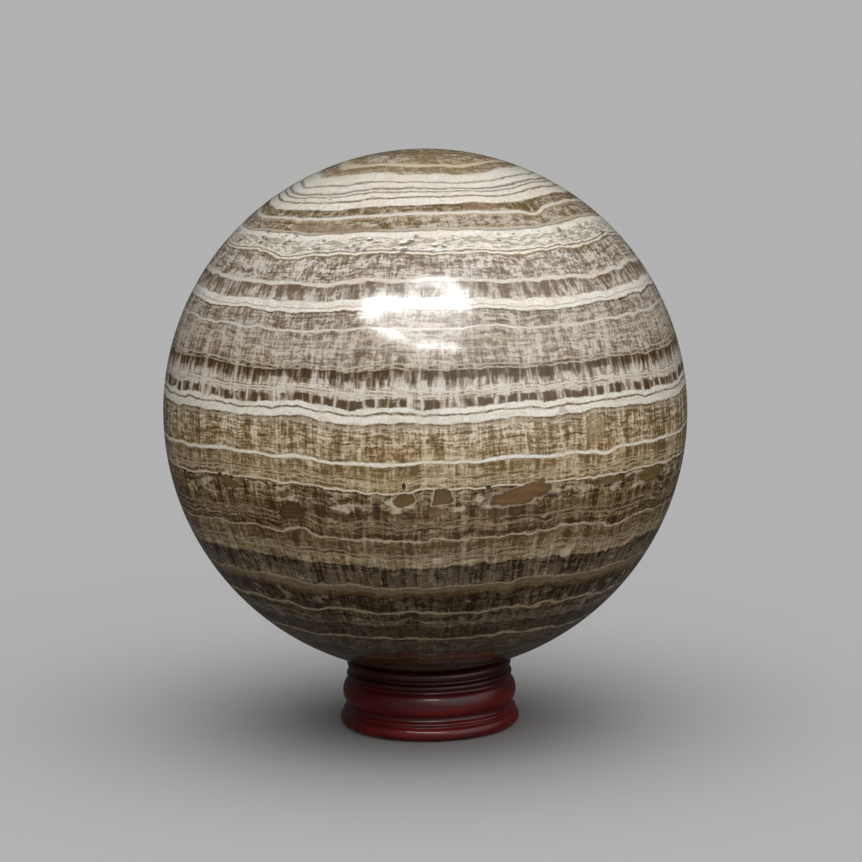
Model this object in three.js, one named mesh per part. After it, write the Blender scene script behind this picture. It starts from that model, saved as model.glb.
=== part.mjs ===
// A polished ball of banded stone that rests, unfastened, on a small turned wooden ring stand.
// Millimetres, +Z up. The origin is on the ground, at the middle of the stand's underside.
import * as THREE from "three";

// Driving dimensions
const BALL_RADIUS = 75;
const FOOT_RADIUS = 26;
const BORE_RADIUS = 14;
const BORE_CHAMFER = 0.6;
const SEAT_GAP = 0.3; // left open between the ball and the rim that carries it

// The stand's turned rings from the ground up. Each bead is an ellipse in section: its middle's
// radius and height, its two half widths, and how far round it the section follows it.
const FOOT_BEAD = { r: 23.6, z: 2.15, halfR: FOOT_RADIUS - 23.6, halfZ: 2.15, from: -90, to: 62, steps: 8 };
const FILLET = { r: 24, z: 4.85, halfR: 0.95, halfZ: 0.6, from: -55, to: 70, steps: 3 };
const BELLY = { r: 22.3, z: 10.1, halfR: 2.8, halfZ: 3.9, from: -55, to: 57, steps: 9 };
const COLLAR_BEAD = { r: 22.6, z: 15.2, halfR: 1.35, halfZ: 1.05, from: -62, to: 66, steps: 5 };
const RIM_BEAD = { r: 22.2, z: 18.2, halfR: 1.3, halfZ: 1.3, from: -58, to: 128, steps: 7 };

// The bottoms of the three grooves between those rings, as radius and height
const FOOT_GROOVE = [23.75, 6.05];
const WAIST_GROOVE = [23.2, 13.85];
const NECK_GROOVE = [22.55, 16.65];

// The dish under the ball, from the rim's inner side down to the top of the bore
const DISH_FLOOR = 15;
const DISH_BOW = [16.2, 16.1];
const DISH_STEPS = 4;

// Facets
const BALL_SEGMENTS_AROUND = 64;
const BALL_SEGMENTS_UP = 30;
const STAND_SEGMENTS_AROUND = 64;

const BALL_LOOK = { color: 0x9c8468, roughness: 0.14, metalness: 0 };
const STAND_LOOK = { color: 0x6b1512, roughness: 0.28, metalness: 0 };

const radians = (degrees) => (degrees * Math.PI) / 180;

// The height of the ball's middle: the ball clears the rim bead's round section by the seat gap.
function ballHeight() {
  const reach = BALL_RADIUS + RIM_BEAD.halfR + SEAT_GAP;
  return RIM_BEAD.z + Math.sqrt(reach ** 2 - RIM_BEAD.r ** 2);
}

// Points along a bead's section, from its lower end to its upper one.
function beadPoints(bead) {
  const points = [];
  for (let i = 0; i <= bead.steps; i += 1) {
    const turn = radians(bead.from + ((bead.to - bead.from) * i) / bead.steps);
    const radius = bead.r + bead.halfR * Math.cos(turn);
    points.push(new THREE.Vector2(radius, bead.z + bead.halfZ * Math.sin(turn)));
  }
  return points;
}

// Points of the dish, a hollow curve from the rim's inner side to the top of the bore.
function dishPoints(rimEnd) {
  const bore = new THREE.Vector2(BORE_RADIUS, DISH_FLOOR);
  const curve = new THREE.QuadraticBezierCurve(rimEnd, new THREE.Vector2(...DISH_BOW), bore);
  return curve.getPoints(DISH_STEPS).slice(1);
}

// The stand's whole section: out along the underside, up the turned rings, in over the rim and
// down through the dish and the bore to where it began.
function standSection() {
  const rim = beadPoints(RIM_BEAD);
  const start = new THREE.Vector2(BORE_RADIUS + BORE_CHAMFER, 0);
  return [
    start,
    ...beadPoints(FOOT_BEAD),
    ...beadPoints(FILLET),
    new THREE.Vector2(...FOOT_GROOVE),
    ...beadPoints(BELLY),
    new THREE.Vector2(...WAIST_GROOVE),
    ...beadPoints(COLLAR_BEAD),
    new THREE.Vector2(...NECK_GROOVE),
    ...rim,
    ...dishPoints(rim[rim.length - 1]),
    new THREE.Vector2(BORE_RADIUS, BORE_CHAMFER),
    start.clone(),
  ];
}

// A named mesh whose geometry, made about +Y, is stood up about +Z.
function upright(name, geometry, look) {
  const mesh = new THREE.Mesh(geometry, new THREE.MeshStandardMaterial(look));
  mesh.name = name;
  mesh.rotation.x = Math.PI / 2;
  return mesh;
}

function makeBall() {
  const geometry = new THREE.SphereGeometry(BALL_RADIUS, BALL_SEGMENTS_AROUND, BALL_SEGMENTS_UP);
  const ball = upright("stone_ball", geometry, BALL_LOOK);
  ball.position.z = ballHeight();
  return ball;
}

function makeStand() {
  const geometry = new THREE.LatheGeometry(standSection(), STAND_SEGMENTS_AROUND);
  return upright("ring_stand", geometry, STAND_LOOK);
}

const ornament = new THREE.Group();
ornament.add(makeStand(), makeBall());

export default ornament;
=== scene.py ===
# A polished ball of banded stone on a small turned and lacquered ring stand, in a plain pale studio.
import logging
import math
from dataclasses import dataclass, field
from enum import Enum

import bmesh
import bpy
from mathutils import Matrix, Vector, noise


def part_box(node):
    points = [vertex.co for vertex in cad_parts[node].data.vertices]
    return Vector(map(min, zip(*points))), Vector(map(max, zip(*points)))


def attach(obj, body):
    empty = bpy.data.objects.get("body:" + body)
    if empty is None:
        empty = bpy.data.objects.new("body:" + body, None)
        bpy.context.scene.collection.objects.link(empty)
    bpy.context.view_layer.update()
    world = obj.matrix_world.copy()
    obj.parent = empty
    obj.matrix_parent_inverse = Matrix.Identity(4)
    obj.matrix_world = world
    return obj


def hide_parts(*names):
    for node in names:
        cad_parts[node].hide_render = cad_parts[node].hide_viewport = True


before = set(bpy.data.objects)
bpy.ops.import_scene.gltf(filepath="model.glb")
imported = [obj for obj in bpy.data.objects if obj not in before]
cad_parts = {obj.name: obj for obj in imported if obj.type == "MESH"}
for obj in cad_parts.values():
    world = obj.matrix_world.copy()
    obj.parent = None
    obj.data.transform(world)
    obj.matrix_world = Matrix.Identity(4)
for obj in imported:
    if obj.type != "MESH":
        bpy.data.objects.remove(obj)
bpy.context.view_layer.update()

MM = 0.001
SAME_PLACE = 0.001  # mm apart at most
TOUCHING = 0.01  # mm above the ground at most
FULL_TURN = 2 * math.pi

log = logging.getLogger("ornament")

Socket = bpy.types.NodeSocket


class Tone(Enum):
    """The colours of the stone and the wood, and of the painted shade on the stand, as red, green and blue on
    a screen.
    """

    CHALK = (233, 228, 217)
    CREAM = (218, 203, 178)
    SAND = (187, 170, 143)
    TAN = (158, 139, 110)
    HAZEL = (134, 114, 84)
    UMBER = (104, 83, 51)
    COCOA = (82, 61, 33)
    BARK = (64, 44, 20)
    PEAT = (44, 27, 10)
    SLATE = (142, 136, 120)
    TAUPE = (110, 92, 73)
    ASH = (156, 139, 112)
    FAWN = (168, 146, 110)
    PEARL = (215, 207, 196)
    BUFF = (199, 162, 107)
    DRAB = (186, 170, 136)
    MIST = (188, 175, 157)
    OLIVE = (106, 89, 50)
    HONEY = (110, 79, 42)
    TAWNY = (101, 74, 37)
    RUST = (142, 115, 90)
    OXBLOOD = (106, 13, 13)
    CHERRY = (136, 18, 16)
    MAHOGANY = (48, 9, 8)
    PAINTED_SHADE = (26, 7, 5)
    BARE_WOOD = (112, 62, 40)

    @property
    def rgba(self) -> tuple[float, float, float, float]:
        """The colour in the linear values that shaders take."""
        parts = [part / 255 for part in self.value]
        return (*(((p + 0.055) / 1.055) ** 2.4 if p > 0.04045 else p / 12.92 for p in parts), 1.0)


class Pattern(Enum):
    """The soft random patterns of the stone and the wood.

    Each gives the sizes of its features in mm, how many finer patterns lie over it, where in the endless
    pattern it is read, and how strong each finer pattern is beside the one before.
    """

    BROAD_FOLDS = ((38, 38, 50), 0.0, 3.0, 0.5)
    CRINKLES = ((9, 9, 22), 0.0, 7.0, 0.5)
    FINE_CRINKLES = ((1.8, 1.8, 4), 0.0, 8.0, 0.5)
    SWELLINGS = ((6, 6, 2), 0.0, 9.0, 0.5)
    RAGGED_EDGES = ((1.1, 1.1, 0.6), 1.0, 12.0, 0.5)
    SWAYS = ((6, 6, 8), 1.0, 43.0, 0.5)
    THREADS = ((1.1, 1.1, 5), 1.0, 2.0, 0.9)
    BUNDLES = ((4.5, 4.5, 20), 1.0, 3.0, 0.5)
    STREAKS = ((1.6, 1.6, 16), 1.0, 6.0, 0.5)
    LAMINAE = ((4.0, 4.0, 0.85), 1.0, 13.0, 0.9)
    LONG_LAMINAE = ((16, 16, 0.8), 1.0, 47.0, 0.8)
    GRAINS = ((0.5, 0.5, 0.55), 1.0, 19.0, 0.9)
    WARM_DRIFTS = ((22, 22, 3.5), 2.0, 11.0, 0.5)
    OLIVE_DRIFTS = ((26, 26, 6), 2.0, 17.0, 0.5)
    CLOUDS = ((4.5, 4.5, 2.6), 3.0, 23.0, 0.5)
    CRUMBS = ((3.4, 3.4, 0.5), 2.0, 29.0, 0.5)
    CRYSTAL_EDGES = ((1.2, 1.2, 1.6), 1.0, 51.0, 0.5)
    LENS_EDGES = ((2.4, 2.4, 1.8), 2.0, 37.0, 0.5)
    LENS_LIGHTS = ((3.5, 3.5, 1.2), 2.0, 41.0, 0.5)
    POLISH_RIPPLES = ((1.2, 1.2, 5.0), 2.0, 31.0, 0.5)
    WOOD_STREAKS = ((40, 3.0, 2.4), 2.0, 4.0, 0.5)
    WOOD_PORES = ((7, 0.35, 0.35), 2.0, 9.0, 0.5)


@dataclass(frozen=True)
class Stratum:
    """One bed of the stone. Its top is in mm above the ball's middle, and shares run from 0 to 1.

    Pale is its share of pale stone, which differs at its foot where foot is given. Bright is how bright
    that stone is, and laid is how far it lies in level laminae rather than in upright fibres.
    """

    top: float
    tone: Tone
    pale: float = 0.0
    bright: float = 0.8
    foot: float | None = None
    laid: float = 0.45
    specks: float = 0.0
    clouds: float = 0.0

    @property
    def pale_foot(self) -> float:
        """The share of pale stone at its foot."""
        return self.pale if self.foot is None else self.foot


# The beds from the crown of the ball downwards. Each reaches down to the top of the next.
CROWN_BEDS = (
    Stratum(76.0, Tone.HAZEL, 0.52, 0.9, laid=0.7),
    Stratum(73.4, Tone.HAZEL, 0.52, 0.9, foot=0.55, laid=0.7),
    Stratum(71.8, Tone.CREAM, 0.4, 0.4),
    Stratum(71.2, Tone.HAZEL, 0.3, foot=0.55),
    Stratum(69.8, Tone.CHALK, 0.4, laid=0.7),
    Stratum(68.1, Tone.SLATE, 0.3),
    Stratum(67.8, Tone.CHALK, 0.4, laid=0.7),
    Stratum(66.7, Tone.SLATE, 0.2, specks=0.3),
    Stratum(66.2, Tone.CHALK, 0.3),
    Stratum(65.9, Tone.SLATE, 0.2, specks=0.3),
    Stratum(65.6, Tone.CHALK, 0.4, laid=0.7, specks=0.2),
    Stratum(64.7, Tone.HAZEL, 0.2),
    Stratum(64.3, Tone.CHALK, 0.45, laid=0.7, specks=0.15),
    Stratum(62.7, Tone.UMBER, 0.34, 0.7, foot=0.46, laid=0.7),
    Stratum(60.8, Tone.PEARL, 0.3, 0.4, foot=0.2),
    Stratum(60.1, Tone.TAN, 0.3, laid=0.7),
    Stratum(59.5, Tone.UMBER, 0.52, 0.7, foot=0.66, laid=0.7),
    Stratum(57.0, Tone.MIST, 0.2, 0.4),
    Stratum(56.5, Tone.SLATE, 0.1),
)
CHALK_BEDS = (
    Stratum(56.2, Tone.CHALK, 0.4, laid=0.7, specks=0.12),
    Stratum(54.9, Tone.CHALK, 0.7, laid=0.7, specks=0.8),
    Stratum(51.9, Tone.CHALK, 0.3),
    Stratum(51.6, Tone.HAZEL, specks=0.1),
    Stratum(51.25, Tone.CHALK, 0.3, specks=0.1),
    Stratum(50.75, Tone.HAZEL, 0.1),
    Stratum(50.4, Tone.TAUPE, 0.56, 0.95, foot=0.72, laid=0.5, specks=0.1),
    Stratum(47.2, Tone.TAUPE, 0.68, 0.9, foot=0.74, laid=0.6, specks=0.2),
    Stratum(44.4, Tone.PEARL, 0.3, specks=0.1),
    Stratum(43.3, Tone.TAUPE, 0.2, 0.9, foot=0.72, laid=0.25),
    Stratum(39.1, Tone.CHALK, 0.35, laid=0.7, specks=0.1),
    Stratum(37.5, Tone.MIST),
    Stratum(37.2, Tone.CHALK, 0.35, laid=0.7),
    Stratum(36.3, Tone.COCOA, 0.35, 0.8),
    Stratum(35.9, Tone.TAUPE, 0.62, 0.82, foot=0.66, laid=0.55, specks=0.1),
    Stratum(32.0, Tone.PEARL, 0.1),
)
COMB_BEDS = (
    Stratum(31.4, Tone.TAUPE, 0.7, 0.8, foot=0.74, laid=0.55),
    Stratum(29.2, Tone.MIST, 0.3),
    Stratum(28.9, Tone.TAUPE, 0.72, 0.8, foot=0.74, laid=0.5),
    Stratum(26.9, Tone.MIST, 0.4),
    Stratum(26.6, Tone.TAUPE, 0.72, 0.85, foot=0.6, laid=0.45),
    Stratum(22.7, Tone.MIST, 0.2, specks=0.3),
    Stratum(22.4, Tone.COCOA, 0.52, 0.85, foot=0.5, laid=0.5),
    Stratum(21.6, Tone.MIST, 0.1, specks=0.3),
    Stratum(21.3, Tone.COCOA, 0.04, 0.9, foot=0.84, laid=0.1),
    Stratum(17.2, Tone.HAZEL, 0.8, 1.0, laid=0.5, specks=0.15),
    Stratum(16.2, Tone.PEARL, 0.1, specks=0.3),
    Stratum(15.8, Tone.HAZEL, 0.85, 1.0, laid=0.5, specks=0.2),
    Stratum(15.3, Tone.PEARL, 0.1, specks=0.3),
    Stratum(14.9, Tone.HAZEL, 0.85, 1.0, foot=0.8, laid=0.4, specks=0.1),
    Stratum(14.4, Tone.UMBER, 0.8, 0.95, foot=0.72, laid=0.1),
    Stratum(13.8, Tone.UMBER, 0.72, 0.95, laid=0.1),
    Stratum(12.5, Tone.UMBER, 0.72, 0.95, foot=0.85, laid=0.1),
)
MIDDLE_BEDS = (
    Stratum(11.9, Tone.CHALK, 0.35, laid=0.7),
    Stratum(10.5, Tone.UMBER, 0.42, laid=0.2),
    Stratum(9.95, Tone.CHALK, 0.35, laid=0.7),
    Stratum(7.9, Tone.UMBER, 0.35, laid=0.25, specks=0.2),
    Stratum(7.3, Tone.TAN, 0.5, laid=0.6, specks=0.2),
    Stratum(6.6, Tone.UMBER, 0.56, 0.95, foot=0.54, laid=0.5),
    Stratum(2.8, Tone.COCOA, 0.5, 0.9, laid=0.6),
    Stratum(2.4, Tone.UMBER, 0.55, 0.9, laid=0.5),
    Stratum(1.8, Tone.COCOA, 0.5, 0.9, laid=0.6),
    Stratum(1.5, Tone.UMBER, 0.55, 0.9, foot=0.52, laid=0.5),
    Stratum(-2.1, Tone.CHALK, 0.3, 0.7, specks=0.1),
    Stratum(-3.0, Tone.UMBER, 0.36, 0.85, foot=0.5, laid=0.4),
    Stratum(-6.0, Tone.TAN, 0.3),
    Stratum(-6.3, Tone.UMBER, 0.5, 0.85, laid=0.6),
    Stratum(-7.1, Tone.SAND, 0.2),
    Stratum(-7.3, Tone.UMBER, 0.54, 0.85, laid=0.6),
)
CLOUD_BEDS = (
    Stratum(-8.1, Tone.SAND, 0.3),
    Stratum(-8.3, Tone.UMBER, 0.5, 0.85, laid=0.6),
    Stratum(-9.4, Tone.CREAM),
    Stratum(-10.0, Tone.BARK, 0.2),
    Stratum(-10.3, Tone.BARK, 0.38, 0.7, foot=0.42, laid=0.6, clouds=0.42),
    Stratum(-15.4, Tone.BARK, 0.3, 0.62, foot=0.34, laid=0.4, clouds=0.1),
    Stratum(-18.1, Tone.ASH, 0.1, 0.6, specks=0.9),
    Stratum(-18.6, Tone.BARK, 0.34, 0.62, laid=0.6),
    Stratum(-19.5, Tone.ASH, 0.1, 0.6, specks=0.9),
    Stratum(-20.0, Tone.BARK, 0.34, 0.62, laid=0.6),
    Stratum(-20.9, Tone.UMBER, 0.45, 0.7, specks=0.5),
    Stratum(-21.2, Tone.BARK, 0.26, 0.62, foot=0.28, laid=0.6),
    Stratum(-23.1, Tone.SAND, 0.2, 0.6, specks=0.5),
    Stratum(-23.6, Tone.COCOA, 0.34, 0.62, foot=0.4, laid=0.45),
    Stratum(-27.25, Tone.ASH, 0.2, 0.6, specks=0.5),
    Stratum(-27.65, Tone.COCOA, 0.44, 0.65, foot=0.5, laid=0.5),
    Stratum(-28.55, Tone.ASH, 0.3, 0.7, specks=0.3),
    Stratum(-29.05, Tone.UMBER, 0.5, 0.72, foot=0.62, laid=0.5),
)
# The lowest beds are dark partly in the stone's own brown and partly as painted shade, for the dim underside
# of the ball.
FOOT_BEDS = (
    Stratum(-31.45, Tone.PEAT, 0.26, 0.6, foot=0.28, laid=0.4),
    Stratum(-33.15, Tone.PEAT, 0.24, 0.62, foot=0.44, laid=0.4, clouds=0.2),
    Stratum(-37.55, Tone.ASH, 0.1, 0.4, specks=0.3),
    Stratum(-38.15, Tone.TAUPE, 0.2, 0.4, laid=0.7),
    Stratum(-39.75, Tone.COCOA, 0.35, 0.35, foot=0.3, laid=0.7),
    Stratum(-40.95, Tone.PEAT, 0.22, 0.45, foot=0.3, laid=0.5, clouds=0.28),
    Stratum(-45.85, Tone.ASH, 0.1, 0.3, specks=0.3),
    Stratum(-46.65, Tone.PEAT, 0.4, 0.45, laid=0.7),
    Stratum(-48.95, Tone.PEAT, 0.6, 0.42, laid=0.7),
    Stratum(-51.15, Tone.PEAT, 0.34, 0.32, foot=0.36, laid=0.6),
    Stratum(-55.45, Tone.ASH, 0.1, 0.3, specks=0.3),
    Stratum(-56.05, Tone.PEAT, 0.5, 0.32, laid=0.7),
    Stratum(-60.2, Tone.PEAT, 0.35, 0.28, laid=0.7),
    Stratum(-63.0, Tone.COCOA, 0.3, 0.3),
    Stratum(-64.0, Tone.PEAT, 0.3, 0.25, laid=0.7),
    Stratum(-69.5, Tone.BARK, 0.3, 0.3, laid=0.7),
)
ALL_BEDS = CROWN_BEDS + CHALK_BEDS + COMB_BEDS + MIDDLE_BEDS + CLOUD_BEDS + FOOT_BEDS
LOWEST_BED_FOOT = -76.0
BEDS_IN_A_STRIP = 15  # a strip of colours holds 32 stops, and a bed takes two
BED_GROUPS = tuple(ALL_BEDS[i : i + BEDS_IN_A_STRIP] for i in range(0, len(ALL_BEDS), BEDS_IN_A_STRIP))


@dataclass(frozen=True)
class Spot:
    """A place on the ball: degrees round it to the right of the front, and mm above its middle."""

    azimuth: float
    height: float

    def on_ball(self, radius: float) -> Vector:
        """The place as a vector from the ball's middle.

        Args:
            radius: The ball's radius, in the unit of the height.

        Returns:
            The place on the surface.
        """
        level_radius = math.sqrt(radius**2 - self.height**2)
        turn = math.radians(self.azimuth)
        return Vector((level_radius * math.sin(turn), -level_radius * math.cos(turn), self.height))


@dataclass(frozen=True)
class Swell:
    """A place where the beds bulge upwards, or sag where its rise is negative, in mm."""

    spot: Spot
    reach: float
    rise: float


SWELLS = (
    Swell(Spot(-62, 60), 30, -2.2),
    Swell(Spot(-32, 62), 20, -1.0),
    Swell(Spot(16, 60), 20, 1.1),
    Swell(Spot(42, 60), 6, -1.0),
    Swell(Spot(-40, 48), 12, -1.6),
    Swell(Spot(56, 48), 18, -1.3),
    Swell(Spot(-60, 40), 18, -1.3),
    Swell(Spot(-48, 43), 12, -1.0),
    Swell(Spot(-24, 44), 11, -1.2),
    Swell(Spot(46, 43), 12, -0.8),
    Swell(Spot(14, 41), 24, 1.0),
    Swell(Spot(-27, 13), 16, 1.5),
    Swell(Spot(3, 12), 16, -0.8),
    Swell(Spot(38, 6), 5, 1.2),
    Swell(Spot(-27, -3), 9, 0.6),
    Swell(Spot(-46, -2), 12, 0.3),
    Swell(Spot(40, -3), 7, -1.3),
    Swell(Spot(-10, -10), 12, -0.8),
    Swell(Spot(-28, -22), 6, 0.8),
    Swell(Spot(-22, -22), 8, -1.5),
    Swell(Spot(30, -23), 10, 0.8),
    Swell(Spot(48, -25), 15, -0.8),
    Swell(Spot(46, -36), 20, -0.5),
    Swell(Spot(-20, -46), 10, 0.7),
    Swell(Spot(32, -49), 12, -1.2),
)


@dataclass(frozen=True)
class Lens:
    """A smooth patch of stone without fibres, or a painted highlight where noted, as half its width and half
    its height in mm.

    Its right end is tilted up by so many degrees. Its foot is where it is cut off level, as a share of
    its half height. Its rim is how dark its edge is, and its outline how clear a pale line runs round it.
    """

    spot: Spot
    half_width: float
    half_height: float
    tone: Tone
    tilt: float = 0.0
    foot: float = 1.5
    rim: float = 0.35
    outline: float = 0.0
    cover: float = 0.96


LENSES = (
    Lens(Spot(20.3, -12.4), 9.6, 2.5, Tone.HONEY, tilt=11, rim=0.5, outline=0.3),
    Lens(Spot(24.4, -9.9), 1.1, 1.8, Tone.HONEY, rim=0.0),
    Lens(Spot(3.3, -13.1), 2.9, 3.7, Tone.TAWNY, tilt=6, foot=0.3, rim=0.7, outline=0.5),
    Lens(Spot(-4.7, -12.9), 2.9, 1.9, Tone.TAWNY, tilt=14, outline=0.2),
    Lens(Spot(-29.6, -17.8), 4.3, 3.2, Tone.COCOA, foot=0.5, rim=0.5, cover=0.9),
    Lens(Spot(-46.0, -11.1), 3.6, 1.5, Tone.UMBER, tilt=-12),
    Lens(Spot(57, -12.2), 6.5, 2.2, Tone.OLIVE),
    Lens(Spot(42, -11.4), 6.0, 0.9, Tone.OLIVE, tilt=-4, rim=0.5, cover=0.8),
    Lens(Spot(2.2, -16.4), 2.0, 1.3, Tone.HONEY, rim=0.2, cover=0.7),
    Lens(Spot(14.5, -17.3), 2.2, 1.6, Tone.COCOA, cover=0.8),
    Lens(Spot(18.8, -17.2), 1.9, 1.5, Tone.COCOA, cover=0.8),
    Lens(Spot(37.5, 3.2), 3.6, 4.6, Tone.FAWN, rim=0.1, cover=0.5),
    Lens(Spot(-4.6, -8.9), 0.55, 1.0, Tone.PEAT, rim=0.0, outline=0.5),
    Lens(Spot(12.8, -9.9), 0.8, 0.6, Tone.PEAT, rim=0.0),
    Lens(Spot(-49.0, -9.3), 1.0, 0.7, Tone.BARK, rim=0.0),
    Lens(Spot(-45.2, -9.5), 0.8, 0.6, Tone.BARK, rim=0.0),
    Lens(Spot(29.5, 9.2), 1.4, 1.2, Tone.SLATE, foot=0.4, cover=0.45),
    Lens(Spot(23, 61.8), 6.5, 0.9, Tone.RUST, rim=0.0, cover=0.6),
    Lens(Spot(-30, 56.6), 14, 1.1, Tone.RUST, rim=0.0, cover=0.6),
    # These two cream patches are not stone: they are painted highlights, small whitish spots of reflected
    # light.
    Lens(Spot(2, -30.4), 1.5, 1.0, Tone.CREAM, rim=0.0, cover=0.5),
    Lens(Spot(33, -30.7), 2.1, 1.6, Tone.CREAM, rim=0.0, cover=0.5),
)


@dataclass(frozen=True)
class CrystalRow:
    """A row of blocky crystals, side by side along a bed. Its height is in mm above the ball's middle."""

    height: float
    half_height: float
    spacing: float
    tone: Tone
    cover: float


CRYSTAL_ROWS = (
    CrystalRow(13.0, 1.15, 2.9, Tone.COCOA, 0.95),
    CrystalRow(20.2, 1.3, 4.0, Tone.BARK, 0.8),
    CrystalRow(-35.4, 2.2, 3.4, Tone.TAUPE, 0.55),
)


class Board:
    """A node tree, with a short call for each kind of node that the finishes and the sky use."""

    def __init__(self, owner: bpy.types.ID) -> None:
        """Opens a node tree.

        Args:
            owner: The material or world that it belongs to.
        """
        owner.use_nodes = True
        self.nodes = owner.node_tree.nodes
        self.links = owner.node_tree.links

    def feed(self, socket: Socket, value: object) -> None:
        """Gives a socket its value.

        Args:
            socket: The input that takes the value.
            value: Another node's output, which is linked, or a constant, which is set.
        """
        if isinstance(value, Socket):
            self.links.new(value, socket)
        else:
            socket.default_value = value

    def math(self, operation: str, *values: object, clamp: bool = False) -> Socket:
        """Works out a number.

        Args:
            operation: The Math node's operation.
            values: Its inputs, as sockets or numbers.
            clamp: Whether the result is kept from 0 to 1.

        Returns:
            The result.
        """
        node = self.nodes.new("ShaderNodeMath")
        node.operation = operation
        node.use_clamp = clamp
        for socket, value in zip(node.inputs, values):
            self.feed(socket, value)
        return node.outputs[0]

    def mapped(self, vector: Socket, scale: object, location: object = (0, 0, 0)) -> Socket:
        """Scales a place and then shifts it.

        Args:
            vector: The place.
            scale: What each axis is multiplied by.
            location: What is added afterwards.

        Returns:
            The new place.
        """
        node = self.nodes.new("ShaderNodeMapping")
        self.feed(node.inputs["Vector"], vector)
        node.inputs["Scale"].default_value = scale
        node.inputs["Location"].default_value = location
        return node.outputs[0]

    def measured(self, vector: Socket, origin: object, turn: object, units: object) -> Socket:
        """Measures a place from an origin of its own.

        Args:
            vector: The place.
            origin: Where it is measured from.
            turn: How the axes are turned, in radians.
            units: What counts as 1 along each axis.

        Returns:
            The place along those axes.
        """
        node = self.nodes.new("ShaderNodeMapping")
        node.vector_type = "TEXTURE"
        self.feed(node.inputs["Vector"], vector)
        node.inputs["Location"].default_value = origin
        node.inputs["Rotation"].default_value = turn
        node.inputs["Scale"].default_value = units
        return node.outputs[0]

    def span(
        self,
        value: object,
        low: object,
        high: object,
        first: object = 0.0,
        last: object = 1.0,
        eased: bool = False,
    ) -> Socket:
        """Turns one span of numbers into another, and keeps the result within it.

        Args:
            value: The number.
            low: Where the span starts.
            high: Where it ends.
            first: The result at the start.
            last: The result at the end.
            eased: Whether it starts and ends gently.

        Returns:
            The result.
        """
        node = self.nodes.new("ShaderNodeMapRange")
        node.interpolation_type = "SMOOTHSTEP" if eased else "LINEAR"
        for socket, item in zip(node.inputs, (value, low, high, first, last)):
            self.feed(socket, item)
        return node.outputs[0]

    def mottle(self, vector: Socket, pattern: Pattern) -> Socket:
        """Reads a soft random pattern.

        Args:
            vector: The place, in mm.
            pattern: The pattern.

        Returns:
            Its value, round 0.5.
        """
        sizes, detail, seed, harsh = pattern.value
        node = self.nodes.new("ShaderNodeTexNoise")
        self.feed(node.inputs["Vector"], self._stretched(vector, sizes, seed))
        node.inputs["Scale"].default_value = 1.0
        node.inputs["Detail"].default_value = detail
        node.inputs["Roughness"].default_value = harsh
        return node.outputs[0]

    def swung(self, vector: Socket, pattern: Pattern, swing: float) -> Socket:
        """Reads a soft random pattern as a swing up and down.

        Args:
            vector: The place, in mm.
            pattern: The pattern.
            swing: How far it swings to either side.

        Returns:
            Its value, round 0.
        """
        return self.math("MULTIPLY_ADD", self.mottle(vector, pattern), 2 * swing, -swing)

    def _stretched(self, vector: Socket, sizes: tuple[float, float, float], seed: float) -> Socket:
        """Stretches a place to a pattern's sizes, and moves it to where the pattern is read."""
        return self.mapped(vector, tuple(1 / size for size in sizes), (seed, -seed, 2 * seed))

    def cells(
        self, vector: Socket, sizes: tuple[float, float, float], seed: float, random: float = 1.0
    ) -> tuple[Socket, Socket]:
        """Divides space into cells.

        Args:
            vector: The place, in mm.
            sizes: How far apart the cells are along each axis, in mm.
            seed: Where in the endless pattern it is read.
            random: How far the cells stray from even rows.

        Returns:
            The distance from the cell's middle, about 0.7 at its edge, and the cell's own random number.
        """
        node = self.nodes.new("ShaderNodeTexVoronoi")
        self.feed(node.inputs["Vector"], self._stretched(vector, sizes, seed))
        node.inputs["Scale"].default_value = 1.0
        node.inputs["Randomness"].default_value = random
        return node.outputs["Distance"], self.parts(node.outputs["Color"], "Color")[0]

    def mix(self, factor: object, first: object, second: object, blend: str = "MIX") -> Socket:
        """Mixes two colours.

        Args:
            factor: The share of the second.
            first: A colour.
            second: Another colour.
            blend: The way they are mixed.

        Returns:
            The mixed colour.
        """
        node = self.nodes.new("ShaderNodeMix")
        node.data_type = "RGBA"
        node.blend_type = blend
        self.feed(node.inputs[0], factor)
        self.feed(node.inputs[6], first)
        self.feed(node.inputs[7], second)
        return node.outputs[2]

    def ramp(self, value: Socket, stops: list[tuple[float, tuple]]) -> tuple[Socket, Socket]:
        """Reads a colour from a strip of colours.

        Args:
            value: The place along the strip, from 0 to 1.
            stops: Each stop's place and colour, in order.

        Returns:
            The colour, and its fourth part.
        """
        node = self.nodes.new("ShaderNodeValToRGB")
        self.feed(node.inputs[0], value)
        elements = node.color_ramp.elements
        elements.remove(elements[0])
        elements[0].position, elements[0].color = stops[0]
        for position, colour in stops[1:]:
            elements.new(position).color = colour
        return node.outputs["Color"], node.outputs["Alpha"]

    def parts(self, value: Socket, kind: str) -> tuple[Socket, Socket, Socket]:
        """Takes a vector or a colour apart.

        Args:
            value: The vector or colour.
            kind: XYZ or Color.

        Returns:
            Its three parts.
        """
        node = self.nodes.new("ShaderNodeSeparate" + kind)
        self.feed(node.inputs[0], value)
        return node.outputs[0], node.outputs[1], node.outputs[2]

    def height(self, place: Socket) -> Socket:
        """How high a place lies."""
        return self.parts(place, "XYZ")[2]

    def joined(self, x: object, y: object, z: object) -> Socket:
        """Makes a vector.

        Args:
            x: Its first part.
            y: Its second part.
            z: Its third part.

        Returns:
            The vector.
        """
        node = self.nodes.new("ShaderNodeCombineXYZ")
        for socket, value in zip(node.inputs, (x, y, z)):
            self.feed(socket, value)
        return node.outputs[0]

    def shaded(self, colour: object, light: Socket) -> Socket:
        """A colour made as much lighter or darker as a number says."""
        return self.mix(1.0, colour, self.joined(light, light, light), "MULTIPLY")

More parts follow.
